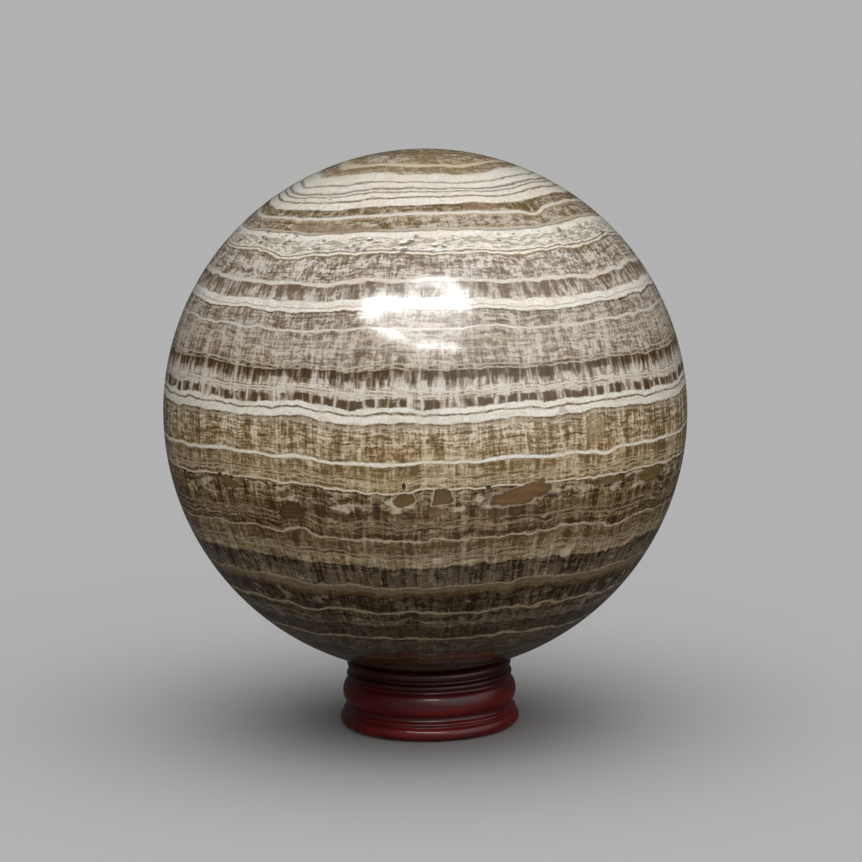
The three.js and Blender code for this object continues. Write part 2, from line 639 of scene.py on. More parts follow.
    def length(self, vector: Socket) -> Socket:
        """Measures a vector.

        Args:
            vector: The vector.

        Returns:
            Its length.
        """
        node = self.nodes.new("ShaderNodeVectorMath")
        node.operation = "LENGTH"
        self.feed(node.inputs[0], vector)
        return node.outputs["Value"]

    def dot(self, vector: Socket, other: Vector) -> Socket:
        """Measures how far a vector points along another.

        Args:
            vector: The vector.
            other: The other.

        Returns:
            How far it does, 1 being the whole way where both are 1 long.
        """
        node = self.nodes.new("ShaderNodeVectorMath")
        node.operation = "DOT_PRODUCT"
        self.feed(node.inputs[0], vector)
        node.inputs[1].default_value = other
        return node.outputs["Value"]

    def place_from(self, middle: Vector) -> Socket:
        """The place on the piece, in mm from a middle that is given in metres."""
        metres = self.nodes.new("ShaderNodeTexCoord").outputs["Object"]
        return self.mapped(metres, (1 / MM,) * 3, tuple(-middle / MM))

    def attribute(self, name: str) -> Socket:
        """Reads a number that the mesh carries.

        Args:
            name: The name that the mesh has for it.

        Returns:
            The number.
        """
        node = self.nodes.new("ShaderNodeAttribute")
        node.attribute_name = name
        return node.outputs["Fac"]

    def bump(self, height: Socket, distance: float, strength: float) -> Socket:
        """Turns a height into a slope of the surface.

        Args:
            height: The height, from 0 to 1.
            distance: How high 1 is, in metres.
            strength: How much of it shows.

        Returns:
            The bumped normal.
        """
        node = self.nodes.new("ShaderNodeBump")
        self.feed(node.inputs["Height"], height)
        node.inputs["Distance"].default_value = distance
        node.inputs["Strength"].default_value = strength
        return node.outputs["Normal"]


class Finish(Board):
    """A material with one shader."""

    def __init__(self, name: str) -> None:
        """Starts the material.

        Args:
            name: Its name.
        """
        self.material = bpy.data.materials.new(name)
        super().__init__(self.material)
        self.shader = self.nodes["Principled BSDF"]


# What a stain or a crumb multiplies the colour by
WARM_STAIN = (1.08, 0.90, 0.78, 1.0)
OLIVE_STAIN = (0.97, 0.97, 0.84, 1.0)
CRUMB_SHADE = (0.46, 0.43, 0.36, 1.0)

# The heights across the beds, in mm, between which thin pale stone turns to the next of its colours
LOWEST_THIN_STONE = Tone.DRAB
THIN_STONES = (
    (-32, -18, Tone.BUFF),
    (4, 8, Tone.SAND),
    (22, 34, Tone.MIST),
    (52, 57, Tone.CREAM),
    (69, 72, Tone.BUFF),
)


@dataclass(frozen=True)
class BandedStone:
    """The polished stone: level beds of brown and cream, crossed by upright crystal fibres. In mm.

    Its folds and swings are how far they go to either side. Where a name ends in heights or in span, it
    gives where a change starts and where it is complete.
    """

    middle: Vector
    radius: float
    pit_name: str
    broad_fold: float = 1.7
    crinkle: float = 0.55
    fine_crinkle: float = 0.2
    swelling: float = 0.4
    raggedness: float = 0.2
    dome_sizes: tuple[float, float, float] = (4.6, 4.6, 14)
    dome_height: float = 0.25
    low_stir: float = 1.7
    low_stir_heights: tuple[float, float] = (-15, -8)
    high_stir: float = 0.5
    high_stir_heights: tuple[float, float] = (45, 62)
    edge_blur: float = 0.15
    least_spread: float = 38.0
    low_lean: float = 1.0
    high_lean: float = 0.5
    lean_heights: tuple[float, float] = (-10, 25)
    sway: float = 1.4
    pearl_heights: tuple[float, float] = (3, 10)
    column_sizes: tuple[float, float, float] = (1.9, 1.9, 20)
    column_swing: float = 0.45
    thread_swing: float = 1.1
    streak_swing: float = 0.35
    lamina_swing: float = 1.7
    dot_sizes: tuple[float, float, float] = (0.95, 0.95, 0.85)
    long_lamina_swing: float = 1.1
    weave_contrast: float = 1.3
    warm_span: tuple[float, float] = (0.5, 0.68)
    most_warmth: float = 0.28
    olive_span: tuple[float, float] = (0.52, 0.68)
    most_olive: float = 0.35
    grain_light: float = 0.15
    crystal_length: float = 60.0
    crystal_reach: float = 0.55
    crystal_raggedness: float = 0.35
    cloud_cover: float = 0.6
    low_cloud_heights: tuple[float, float] = (-30, -20)
    crumb_cover: float = 0.8
    lens_raggedness: float = 0.4
    lens_light: float = 0.2
    # How dark the painted shade in the pits is.
    pit_painted_shade: float = 0.75
    roughness: float = 0.12
    crumb_roughness: float = 0.12
    pit_roughness: float = 0.5
    refraction: float = 1.54
    ripple_height: float = 0.06
    ripple_strength: float = 0.2

    def material(self) -> bpy.types.Material:
        """Builds the stone's material.

        Returns:
            The material.
        """
        board = Finish("banded_stone")
        place = board.place_from(self.middle)
        bed = self._bed_place(board, place)
        level = board.height(bed)
        tone, laid, shares, bright = self._beds(board, level)
        pale, specks, clouds = board.parts(shares, "Color")
        cover = board.math("MULTIPLY", self._weave(board, bed, pale, laid, bright), bright)
        pearly = board.span(level, *self.pearl_heights)
        thick_stone = board.mix(pearly, Tone.CREAM.rgba, Tone.PEARL.rgba)
        pale_stone = board.mix(cover, self._thin_stone(board, level), thick_stone)
        colour = self._grained(board, bed, board.mix(cover, tone, pale_stone))
        for row in CRYSTAL_ROWS:
            colour = self._studded(board, bed, colour, row)
        colour = self._clouded(board, bed, colour, clouds)
        colour = self._stained(board, bed, colour)
        colour, crumbs = self._specked(board, bed, colour, specks)
        colour = self._lensed(board, place, colour)
        pits = board.attribute(self.pit_name)
        # Painted shade: the pits are darkened towards dark brown, the deeper the darker.
        colour = board.mix(board.span(pits, 0.0, 0.6, 0.0, self.pit_painted_shade), colour, Tone.BARK.rgba)
        dull = board.math("MULTIPLY_ADD", crumbs, self.crumb_roughness, self.roughness)
        dull = board.math("MULTIPLY_ADD", pits, self.pit_roughness, dull)
        ripples = board.mottle(place, Pattern.POLISH_RIPPLES)
        normal = board.bump(ripples, self.ripple_height * MM, self.ripple_strength)
        inputs = board.shader.inputs
        board.feed(inputs["Base Color"], colour)
        board.feed(inputs["Roughness"], dull)
        board.feed(inputs["Normal"], normal)
        inputs["IOR"].default_value = self.refraction
        return board.material

    def _bed_place(self, board: Board, place: Socket) -> Socket:
        """Unfolds the stone, so that each bed is flat again.

        Args:
            board: The material's board.
            place: The place from the ball's middle, in mm.

        Returns:
            The same place with its height measured across the folded beds, and spread outwards towards
            the width of the ball's middle, so that the fibres lean with the surface.
        """
        x, y, z = board.parts(place, "XYZ")
        level_radius = board.math("MAXIMUM", board.length(board.joined(x, y, 0.0)), self.least_spread)
        lean = board.span(z, *self.lean_heights, self.low_lean, self.high_lean)
        spread = board.math("POWER", board.math("DIVIDE", self.radius, level_radius), lean)
        stir = board.math(
            "MULTIPLY",
            board.span(z, *self.low_stir_heights, self.low_stir, 1.0),
            board.span(z, *self.high_stir_heights, 1.0, self.high_stir),
        )
        rise = board.math("MULTIPLY", self._small_folds(board, place), stir)
        rise = board.math("ADD", rise, board.swung(place, Pattern.BROAD_FOLDS, self.broad_fold))
        rise = self._swollen(board, place, rise)
        sway = board.math("MULTIPLY", board.mottle(place, Pattern.SWAYS), self.sway)
        spread_x, spread_y = (board.math("MULTIPLY_ADD", part, spread, sway) for part in (x, y))
        return board.joined(spread_x, spread_y, board.math("SUBTRACT", z, rise))

    def _small_folds(self, board: Board, place: Socket) -> Socket:
        """Adds up the small folds of the beds.

        Args:
            board: The material's board.
            place: The place from the ball's middle, in mm.

        Returns:
            How far they lift the beds, in mm.
        """
        dome, _ = board.cells(place, self.dome_sizes, 5.0)
        drop = board.math("MULTIPLY", board.math("MULTIPLY", dome, dome), 2 * self.dome_height)
        rise = board.math("SUBTRACT", self.dome_height / 2, drop)
        for pattern, swing in (
            (Pattern.CRINKLES, self.crinkle),
            (Pattern.FINE_CRINKLES, self.fine_crinkle),
            (Pattern.SWELLINGS, self.swelling),
            (Pattern.RAGGED_EDGES, self.raggedness),
        ):
            rise = board.math("ADD", rise, board.swung(place, pattern, swing))
        return rise

    def _swollen(self, board: Board, place: Socket, rise: Socket) -> Socket:
        """Adds the swells to the beds' rise.

        Args:
            board: The material's board.
            place: The place from the ball's middle, in mm.
            rise: How far the beds are lifted so far, in mm.

        Returns:
            How far they are lifted with the swells.
        """
        for swell in SWELLS:
            units = (swell.reach,) * 3
            away = board.length(board.measured(place, swell.spot.on_ball(self.radius), (0, 0, 0), units))
            rise = board.math("ADD", rise, board.span(away, 0.0, 1.0, swell.rise, 0.0, eased=True))
        return rise

    def _thin_stone(self, board: Board, level: Socket) -> Socket:
        """Colours pale stone where it is thin: golden in the middle beds, duller above and below.

        Args:
            board: The material's board.
            level: The height across the unfolded beds, in mm.

        Returns:
            The colour.
        """
        colour = LOWEST_THIN_STONE.rgba
        for start, end, tone in THIN_STONES:
            colour = board.mix(board.span(level, start, end), colour, tone.rgba)
        return colour

    def _beds(self, board: Board, level: Socket) -> tuple[Socket, Socket, Socket, Socket]:
        """Reads the bed at a level.

        Args:
            board: The material's board.
            level: The height across the unfolded beds, in mm.

        Returns:
            The bed's colour, how far it is laid rather than upright, the shares of pale stone, specks
            and clouds in it as a colour, and how bright its pale stone is.
        """
        feet = [group[0].top for group in BED_GROUPS[1:]] + [LOWEST_BED_FOOT]
        found = None
        for group, foot in zip(BED_GROUPS, feet):
            along = board.span(level, foot, group[0].top)
            tones, amounts = self._stops(group, foot)
            read = (*board.ramp(along, tones), *board.ramp(along, amounts))
            if found is None:
                found = read
                continue
            below = board.math("LESS_THAN", level, group[0].top)
            found = (
                board.mix(below, found[0], read[0]),
                board.span(below, 0.0, 1.0, found[1], read[1]),
                board.mix(below, found[2], read[2]),
                board.span(below, 0.0, 1.0, found[3], read[3]),
            )
        return found

    def _stops(self, group: tuple[Stratum, ...], foot: float) -> tuple[list, list]:
        """Lays a group of beds out along two strips, from its foot up.

        Args:
            group: The beds from the top down.
            foot: The height of the lowest one's underside.

        Returns:
            The stops of the colours, and those of the shares.
        """
        high = group[0].top
        tones, amounts = [], []
        undersides = [bed.top for bed in group[1:]] + [foot]
        for bed, underside in reversed(list(zip(group, undersides))):
            blur = min(self.edge_blur, 0.3 * (bed.top - underside))
            low_end = (underside + blur - foot) / (high - foot)
            high_end = (bed.top - blur - foot) / (high - foot)
            tone = (*bed.tone.rgba[:3], bed.laid)
            tones += [(low_end, tone), (high_end, tone)]
            rest = (bed.specks, bed.clouds, bed.bright)
            amounts += [(low_end, (bed.pale_foot, *rest)), (high_end, (bed.pale, *rest))]
        return tones, amounts

    def _stained(self, board: Board, bed: Socket, colour: Socket) -> Socket:
        """Warms and cools the colour in broad drifts along the beds.

        Args:
            board: The material's board.
            bed: The unfolded place, in mm.
            colour: The colour.

        Returns:
            The stained colour.
        """
        warm = board.span(board.mottle(bed, Pattern.WARM_DRIFTS), *self.warm_span, 0.0, self.most_warmth)
        colour = board.mix(warm, colour, WARM_STAIN, "MULTIPLY")
        olive = board.span(board.mottle(bed, Pattern.OLIVE_DRIFTS), *self.olive_span, 0.0, self.most_olive)
        return board.mix(olive, colour, OLIVE_STAIN, "MULTIPLY")

    def _weave(self, board: Board, bed: Socket, share: Socket, laid: Socket, bright: Socket) -> Socket:
        """Weaves upright pale fibres and level pale laminae together.

        Args:
            board: The material's board.
            bed: The unfolded place, in mm.
            share: How much of the bed they cover.
            laid: How far the laminae outweigh the fibres.
            bright: How bright the pale stone is. The duller it is, the softer the weave.

        Returns:
            How pale the stone is, from 0 to 1.
        """
        woven = board.span(laid, 0.0, 1.0, self._fibres(board, bed), self._laminae(board, bed))
        bundles = board.math("MULTIPLY_ADD", board.mottle(bed, Pattern.BUNDLES), 0.8, -0.5)
        woven = board.math("ADD", woven, bundles)
        woven = board.math("ADD", woven, board.swung(bed, Pattern.STREAKS, self.streak_swing))
        long_laminae = board.swung(bed, Pattern.LONG_LAMINAE, self.long_lamina_swing)
        woven = board.math("MULTIPLY_ADD", long_laminae, laid, woven)
        woven = board.math("MULTIPLY", woven, board.span(bright, 0.3, 0.95, 0.4, 1.0))
        return board.math("POWER", board.math("ADD", woven, share, clamp=True), self.weave_contrast)

    def _fibres(self, board: Board, bed: Socket) -> Socket:
        """Stands upright fibres side by side, in columns with pale gaps.

        Args:
            board: The material's board.
            bed: The unfolded place, in mm.

        Returns:
            How much paler than its share the stone is.
        """
        gap, column = board.cells(bed, self.column_sizes, 1.0)
        light = board.math("ADD", board.span(gap, 0.42, 0.6, -0.12, 0.45), -0.28)
        light = board.math("MULTIPLY_ADD", column, self.column_swing, light)
        return board.math("ADD", board.swung(bed, Pattern.THREADS, self.thread_swing), light)

    def _laminae(self, board: Board, bed: Socket) -> Socket:
        """Lays thin dotted laminae on one another.

        Args:
            board: The material's board.
            bed: The unfolded place, in mm.

        Returns:
            How much paler than its share the stone is.
        """
        dot, _ = board.cells(bed, self.dot_sizes, 4.0, 0.6)
        light = board.span(dot, 0.2, 0.62, -0.6, 0.3)
        return board.math("ADD", board.swung(bed, Pattern.LAMINAE, self.lamina_swing), light)

    def _studded(self, board: Board, bed: Socket, colour: Socket, row: CrystalRow) -> Socket:
        """Sets a row of crystals into the colour.

        Args:
            board: The material's board.
            bed: The unfolded place, in mm.
            colour: The colour round the crystals.
            row: The row.

        Returns:
            The colour with the crystals.
        """
        sizes = (row.spacing, row.spacing, self.crystal_length)
        gap, own = board.cells(bed, sizes, 6.0 + row.height, 0.6)
        above = board.math("SUBTRACT", board.height(bed), row.height)
        above = board.math("MULTIPLY", above, board.span(own, 0.0, 1.0, 1.3, 0.8))
        above = board.math("ABSOLUTE", board.math("DIVIDE", above, row.half_height))
        away = board.math("MAXIMUM", board.math("DIVIDE", gap, self.crystal_reach), above)
        ragged = board.swung(bed, Pattern.CRYSTAL_EDGES, self.crystal_raggedness)
        away = board.math("ADD", away, ragged)
        return board.mix(board.span(away, 0.75, 1.1, row.cover, 0.0), colour, row.tone.rgba)

    def _grained(self, board: Board, bed: Socket, colour: Socket) -> Socket:
        """Lightens and darkens the colour in fine crystal grains.

        Args:
            board: The material's board.
            bed: The unfolded place, in mm.
            colour: The colour.

        Returns:
            The grained colour.
        """
        grain = board.mottle(bed, Pattern.GRAINS)
        return board.shaded(colour, board.span(grain, 0.25, 0.75, 1 - self.grain_light, 1 + self.grain_light))

    def _clouded(self, board: Board, bed: Socket, colour: Socket, share: Socket) -> Socket:
        """Lays cloudy pale patches over the colour where the beds are disturbed.

        Args:
            board: The material's board.
            bed: The unfolded place, in mm.
            colour: The colour under the clouds.
            share: How much of the bed the clouds cover.

        Returns:
            The colour with the clouds.
        """
        threshold = board.math("MULTIPLY_ADD", share, -0.36, 0.70)
        above = board.math("SUBTRACT", board.mottle(bed, Pattern.CLOUDS), threshold)
        cover = board.span(above, 0.0, 0.09, 0.0, self.cloud_cover)
        low = board.span(board.height(bed), *self.low_cloud_heights, 1.0, 0.0)
        return board.mix(cover, colour, board.mix(low, Tone.CREAM.rgba, Tone.ASH.rgba))

    def _specked(self, board: Board, bed: Socket, colour: Socket, share: Socket) -> tuple[Socket, Socket]:
        """Scatters small dark crumbs over the colour.

        Args:
            board: The material's board.
            bed: The unfolded place, in mm.
            colour: The colour under the crumbs.
            share: How much of the bed the crumbs cover.

        Returns:
            The colour with the crumbs, and how far a place lies in one.
        """
        threshold = board.math("MULTIPLY_ADD", share, -0.30, 0.70)
        above = board.math("SUBTRACT", board.mottle(bed, Pattern.CRUMBS), threshold)
        inside = board.span(above, 0.0, 0.08)
        cover = board.math("MULTIPLY", inside, self.crumb_cover)
        return board.mix(cover, colour, CRUMB_SHADE, "MULTIPLY"), inside

    def _lensed(self, board: Board, place: Socket, colour: Socket) -> Socket:
        """Sets the smooth lenses into the colour, and the painted highlights that are listed with them.

        Args:
            board: The material's board.
            place: The place from the ball's middle, in mm.
            colour: The colour round the lenses.

        Returns:
            The colour with the lenses.
        """
        ragged = board.swung(place, Pattern.LENS_EDGES, self.lens_raggedness)
        lights = board.mottle(place, Pattern.LENS_LIGHTS)
        light = board.span(lights, 0.3, 0.7, 1 - self.lens_light, 1 + self.lens_light)
        for lens in LENSES:
            spot = lens.spot.on_ball(self.radius)
            turn = (0.0, -math.radians(lens.tilt), math.radians(lens.spot.azimuth))
            halves = (lens.half_width, lens.half_width, lens.half_height)
            local = board.measured(place, spot, turn, halves)
            away = board.math("ADD", board.length(local), ragged)
            below = board.math("MULTIPLY", board.height(local), -1 / lens.foot)
            away = board.math("MAXIMUM", away, below)
            if lens.outline:
                ring = board.span(away, 1.08, 1.22, lens.outline, 0.0)
                colour = board.mix(ring, colour, Tone.CREAM.rgba)
            shade = board.math("MULTIPLY", light, board.span(away, 0.7, 1.0, 1.0, 1.0 - lens.rim))
            patch = board.shaded(lens.tone.rgba, shade)
            colour = board.mix(board.span(away, 0.92, 1.04, lens.cover, 0.0), colour, patch)
        return colour


@dataclass(frozen=True)
class LacqueredWood:
    """Red-brown wood under a gloss lacquer, with painted shade in its grooves and on its upper rings, under
    the ball. In mm.
    """

    middle: Vector
    groove_shade_name: str
    bare_name: str
    pore_share: float = 0.4
    pore_depth: float = 0.05
    pore_strength: float = 0.4
    # Painted shade: how high it starts and is full under the ball, and how dark it makes the rim and the
    # grooves.
    shade_foot: float = 10.0
    shade_top: float = 15.5
    rim_painted_shade: float = 0.8
    groove_painted_shade: float = 0.85
    bareness: float = 0.7
    roughness: float = 0.4
    bare_roughness: float = 0.3
    sheen_level: float = 0.2
    coat: float = 0.6
    bare_coat: float = 0.1
    coat_roughness: float = 0.09

    def material(self) -> bpy.types.Material:
        """Builds the wood's material.

        Returns:
            The material.
        """
        board = Finish("lacquered_wood")
        place = board.place_from(self.middle)
        stops = [(0.05, Tone.MAHOGANY.rgba), (0.5, Tone.OXBLOOD.rgba), (0.95, Tone.CHERRY.rgba)]
        colour, _ = board.ramp(board.mottle(place, Pattern.WOOD_STREAKS), stops)
        pores = board.span(board.mottle(place, Pattern.WOOD_PORES), 0.58, 0.66, 0.0, self.pore_share)
        colour = board.mix(pores, colour, Tone.MAHOGANY.rgba)
        # Painted shade: the upper rings, under the ball, are darkened towards a near-black red.
        upper = board.span(board.height(place), self.shade_foot, self.shade_top, 0.0, self.rim_painted_shade)
        # Painted shade: the lacquer is darkened deeper in the grooves.
        groove_shade = board.math("MULTIPLY", board.attribute(self.groove_shade_name), self.groove_painted_shade)
        colour = board.mix(board.math("MAXIMUM", upper, groove_shade), colour, Tone.PAINTED_SHADE.rgba)
        bare = board.attribute(self.bare_name)
        colour = board.mix(board.math("MULTIPLY", bare, self.bareness), colour, Tone.BARE_WOOD.rgba)
        dull = board.math("MULTIPLY_ADD", bare, self.bare_roughness, self.roughness)
        inputs = board.shader.inputs
        board.feed(inputs["Base Color"], colour)
        board.feed(inputs["Roughness"], dull)
        board.feed(inputs["Coat Weight"], board.span(bare, 0.0, 1.0, self.coat, self.bare_coat))
        board.feed(inputs["Normal"], board.bump(pores, -self.pore_depth * MM, self.pore_strength))
        inputs["Specular IOR Level"].default_value = self.sheen_level
        inputs["Coat Roughness"].default_value = self.coat_roughness
        return board.material


def add_piece(name: str, mesh: bmesh.types.BMesh, material: bpy.types.Material) -> bpy.types.Object:
    """Makes a smooth object from a finished mesh.

    Args:
        name: The object's name.
        mesh: Its mesh, which is freed.
        material: Its material.

    Returns:
        The object.
    """
    data = bpy.data.meshes.new(name)
    mesh.to_mesh(data)
    mesh.free()
    data.shade_smooth()
    data.materials.append(material)
    piece = bpy.data.objects.new(name, data)
    bpy.context.scene.collection.objects.link(piece)
    return piece


@dataclass
class StoneBall:
    """The polished ball, with the open pits of its crumbly bed. Sizes in mm."""

    node: str = "stone_ball"
    subdivisions: int = 7
    pitted_foot: float = 50.8
    pitted_top: float = 55.6
    pit_cuts: int = 3
    pit_spacing: float = 1.2
    pit_stretch: float = 2.2
    pit_depth: float = 0.28
    pit_reach: float = 0.28
    pit_wall: float = 0.16
    pit_patches: float = 5.0
    patchiness: float = 0.5
    unpitted_edge: float = 0.6
    pit_name: str = "pit_depth"
    middle: Vector = field(init=False)
    radius: float = field(init=False)

    def __post_init__(self) -> None:
        """Takes the ball's place and radius from the frame."""
        low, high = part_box(self.node)
        self.middle = (low + high) / 2
        self.radius = (high.z - low.z) / 2

    def build(self) -> bpy.types.Object:
        """Makes the ball and dresses it.

        Returns:
            The ball.
        """
        mesh = bmesh.new()
        bmesh.ops.create_icosphere(mesh, subdivisions=self.subdivisions, radius=self.radius)
        self._refine(mesh)
        self._open_pits(mesh)
        bmesh.ops.translate(mesh, verts=mesh.verts, vec=self.middle)
        finish = BandedStone(self.middle, self.radius / MM, self.pit_name)
        ball = add_piece("banded_stone_ball", mesh, finish.material())
        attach(ball, "root")
        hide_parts(self.node)
        return ball

    def _refine(self, mesh: bmesh.types.BMesh) -> None:
        """Divides the faces of the crumbly bed, so that they can hold its pits.

        Args:
            mesh: The ball's mesh, round the origin.
        """
        foot, top = self.pitted_foot * MM, self.pitted_top * MM
        fine = {e for e in mesh.edges if all(foot < v.co.z < top for v in e.verts)}
        bmesh.ops.subdivide_edges(mesh, edges=list(fine), cuts=self.pit_cuts, use_grid_fill=True)
        bmesh.ops.triangulate(mesh, faces=[f for f in mesh.faces if len(f.verts) > 3])
        for vert in mesh.verts:
            vert.co = vert.co.normalized() * self.radius

    def _open_pits(self, mesh: bmesh.types.BMesh) -> None:
        """Sinks small ragged pits into the crumbly bed, and notes how deep each place lies.

        Args:
            mesh: The ball's mesh, round the origin.
        """
        layer = mesh.verts.layers.float.new(self.pit_name)
        for vert in mesh.verts:
            depth = self._pit(vert.co / MM)
            vert[layer] = depth
            vert.co -= vert.co.normalized() * depth * self.pit_depth * MM

    def _pit(self, place: Vector) -> float:
        """How deep a pit lies at a place.

        Args:
            place: The place from the ball's middle, in mm.

        Returns:
            The depth, from 0 on the surface to 1 at a pit's floor.
        """
        inside = min(place.z - self.pitted_foot, self.pitted_top - place.z)
        if inside <= self.unpitted_edge:
            return 0.0
        level = Vector((place.x / self.pit_stretch, place.y / self.pit_stretch, place.z))
        distances, _ = noise.voronoi(level / self.pit_spacing)
        open_here = self.pit_reach + self.patchiness * noise.noise(place / self.pit_patches)
        return max(0.0, min(1.0, (open_here - distances[0]) / self.pit_wall))


@dataclass(frozen=True)
class Bead:
    """A turned bead, an ellipse in section: its middle, its half widths and the arc it follows."""

    radius: float
    height: float
    half_radius: float
    half_height: float
    start: float
    end: float

    def points(self, steps: int) -> list[Vector]:
        """Points along the bead's section, from its lower end to its upper one.

        Args:
            steps: How many stretches the arc has.

        Returns:
            The points, as radius, nothing and height.
        """
        arc = []
        for i in range(steps + 1):
            turn = math.radians(self.start + (self.end - self.start) * i / steps)
            radius = self.radius + self.half_radius * math.cos(turn)
            arc.append(Vector((radius, 0, self.height + self.half_height * math.sin(turn))))
        return arc


@dataclass
class RingStand:
    """The turned ring stand. Sizes in mm."""

    node: str = "ring_stand"
    foot_bead: Bead = Bead(23.6, 2.15, 2.4, 2.15, -90, 62)
    fillet: Bead = Bead(24.0, 4.85, 0.95, 0.6, -55, 70)
    belly: Bead = Bead(22.3, 10.1, 2.8, 3.9, -55, 57)
    collar_bead: Bead = Bead(22.6, 15.2, 1.35, 1.05, -62, 66)
    rim_bead: Bead = Bead(22.2, 18.2, 1.55, 1.55, -58, 128)
    foot_groove: tuple[float, float] = (23.75, 6.05)
    waist_groove: tuple[float, float] = (23.2, 13.85)
    neck_groove: tuple[float, float] = (22.55, 16.65)
    dish_middle: tuple[float, float] = (17.2, 16.3)
    bore_radius: float = 14.0
    bore_top: float = 15.0
    bore_chamfer: float = 0.6
    bead_steps: int = 16
    steps_round: int = 256
    # Where the painted shade in the grooves starts, in mm below the line from crest to crest, and how much
    # deeper it is full.
    groove_shade_start: float = 0.3
    groove_shade_depth: float = 1.5
    bare_rim: float = 2.0
    groove_shade_name: str = "groove_shade"
    bare_name: str = "bare"
    middle: Vector = field(init=False)

    def __post_init__(self) -> None:
        """Takes the stand's place from the frame."""
        low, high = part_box(self.node)
        self.middle = Vector(((low.x + high.x) / 2, (low.y + high.y) / 2, low.z))

    def build(self) -> bpy.types.Object:
        """Makes the stand and dresses it.

        Returns:
            The stand.
        """
        mesh = bmesh.new()
        section = [mesh.verts.new(point * MM) for point in self._section()]
        edges = [mesh.edges.new((a, b)) for a, b in zip(section, section[1:] + section[:1])]
        bmesh.ops.spin(
            mesh,
            geom=section + edges,
            cent=(0, 0, 0),
            axis=(0, 0, 1),
            dvec=(0, 0, 0),
            angle=FULL_TURN,
            steps=self.steps_round,
            use_merge=True,
        )
        bmesh.ops.remove_doubles(mesh, verts=mesh.verts, dist=SAME_PLACE * MM)
        bmesh.ops.recalc_face_normals(mesh, faces=mesh.faces)
        self._note_groove_shade_and_bare(mesh)
        bmesh.ops.translate(mesh, verts=mesh.verts, vec=self.middle)
        finish = LacqueredWood(self.middle, self.groove_shade_name, self.bare_name)
        stand = add_piece("lacquered_ring_stand", mesh, finish.material())
        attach(stand, "root")
        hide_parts(self.node)
        return stand

    def _section(self) -> list[Vector]:
        """Draws the stand's section, from the underside out, up the rings and down through the bore.

        Returns:
            The section's points, as radius, nothing and height.
        """
        points = [Vector((self.bore_radius + self.bore_chamfer, 0, 0))]
        for bead, groove in (
            (self.foot_bead, None),
            (self.fillet, self.foot_groove),
            (self.belly, self.waist_groove),
            (self.collar_bead, self.neck_groove),
            (self.rim_bead, self.dish_middle),
        ):
            points += bead.points(self.bead_steps)
            if groove:
                points.append(Vector((groove[0], 0, groove[1])))
        points.append(Vector((self.bore_radius, 0, self.bore_top)))
        points.append(Vector((self.bore_radius, 0, self.bore_chamfer)))
        return points

    def _note_groove_shade_and_bare(self, mesh: bmesh.types.BMesh) -> None:
        """Notes how deep in a groove each place lies, for the painted shade there, and where the lacquer
        stops.

        Args:
            mesh: The stand's mesh, round the upright axis.
        """
        groove_shade = mesh.verts.layers.float.new(self.groove_shade_name)
        bare = mesh.verts.layers.float.new(self.bare_name)
        beads = (self.foot_bead, self.fillet, self.belly, self.collar_bead, self.rim_bead)
        crests = [(bead.height, bead.radius + bead.half_radius) for bead in beads]
        for vert in mesh.verts:
            radius, height = vert.co.xy.length / MM, vert.co.z / MM
            outside = self._between(crests, height)
            depth = outside - radius - self.groove_shade_start
            vert[groove_shade] = max(0.0, min(1.0, depth / self.groove_shade_depth))
            in_bore = radius < self.bore_radius + self.bare_rim
            vert[bare] = 1.0 if in_bore or height < TOUCHING else 0.0

    @staticmethod
    def _between(crests: list[tuple[float, float]], height: float) -> float:
        """The stand's outer radius at a height, as a line from crest to crest.

        Args:
            crests: Each crest's height and radius, from the ground up.
            height: The height.

        Returns:
            The radius.
        """
        if height <= crests[0][0]:
            return crests[0][1]
        for (low, low_radius), (high, high_radius) in zip(crests, crests[1:]):
            if height <= high:
                share = (height - low) / (high - low)
                return low_radius + share * (high_radius - low_radius)
        return crests[-1][1]


@dataclass
class PhotoCamera:
    """The camera, at the photograph's distance, height and tilt. Distances in metres."""

    target: Vector
    distance: float = 0.9
    elevation: float = 8.5
    roll: float = 0.85
    frame_pixels: float = 862.0
    focal_pixels: float = 3134.0
    ball_pixel: tuple[float, float] = (425.3, 410.8)
    sensor: float = 36.0

    @property
    def place(self) -> Vector:
        """Finds where the camera stands.

        Returns:
            The place.
        """
        rise = math.radians(self.elevation)
        return self.target + self.distance * Vector((0, -math.cos(rise), math.sin(rise)))

    def build(self) -> bpy.types.Object:
        """Makes the camera and hands it to the scene.

        Returns:
            The camera.
        """
        data = bpy.data.cameras.new("photo_camera")
        data.sensor_width = self.sensor
        data.lens = self.sensor * self.focal_pixels / self.frame_pixels
        camera = bpy.data.objects.new("photo_camera", data)
        back = (self.place - self.target).normalized()
        right = Vector((1, 0, 0))
        upward = back.cross(right)
        axes = Matrix((right, upward, back)).transposed()
        half = self.frame_pixels / 2
        swing = (self.ball_pixel[0] - half) / self.focal_pixels
        nod = (self.ball_pixel[1] - half) / self.focal_pixels
        turn = Matrix.Rotation(-math.radians(self.roll), 3, "Z")
        aim = Matrix.Rotation(swing, 3, "Y") @ Matrix.Rotation(nod, 3, "X")
        camera.matrix_world = Matrix.Translation(self.place) @ (axes @ turn @ aim).to_4x4()
        bpy.context.scene.collection.objects.link(camera)
        bpy.context.scene.camera = camera
        return camera


